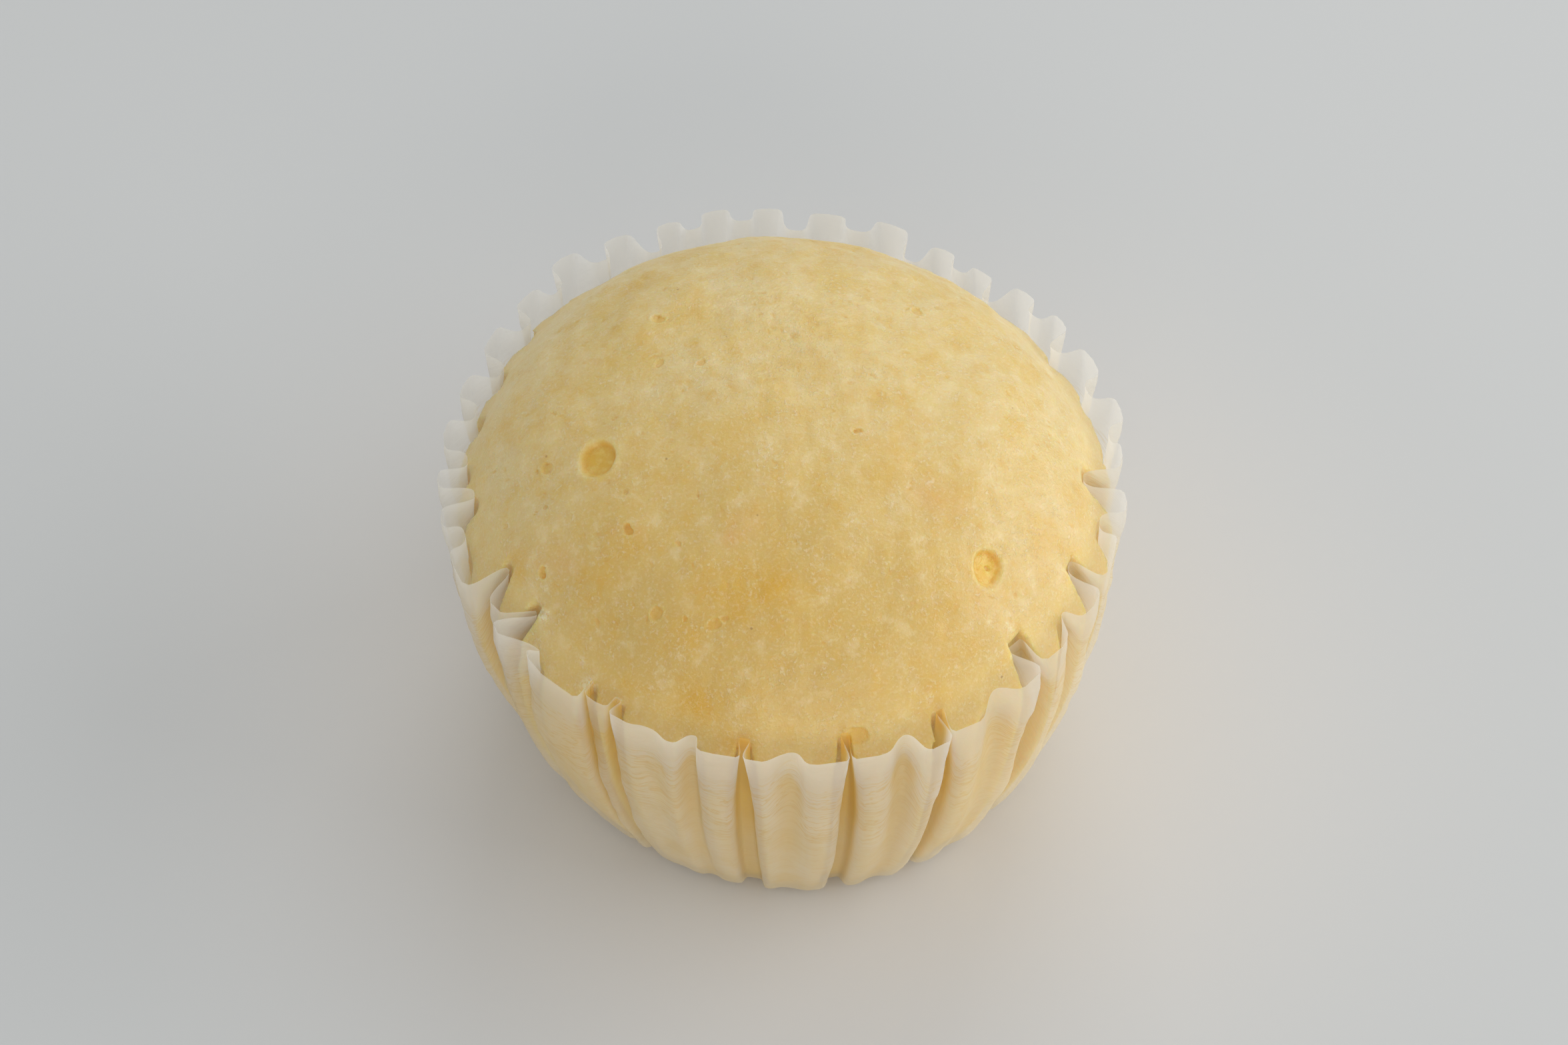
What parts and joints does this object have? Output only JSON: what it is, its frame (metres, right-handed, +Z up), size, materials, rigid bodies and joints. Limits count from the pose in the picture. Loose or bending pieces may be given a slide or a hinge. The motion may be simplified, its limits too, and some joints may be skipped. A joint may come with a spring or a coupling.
{
  "type": "mini steamed sponge cake in a paper case",
  "caption": "Small domed steamed sponge cake in a flared, pleated greaseproof paper case that stands on its flat base.",
  "frame": {"origin": "middle of the paper case's flat base, on the surface that it stands on", "axes": "+Z up through the middle of the dome, -Y towards the front of the picture, +X to its right"},
  "size_m": [0.0567, 0.0564, 0.041],
  "materials": {
    "sponge_cake": "soft matt pale yellow steamed crumb",
    "paper_case": "thin translucent greaseproof paper"
  },
  "bodies": {
    "root": {"sponge_cake": "sponge_cake", "paper_case": "paper_case"}
  },
  "joints": []
}
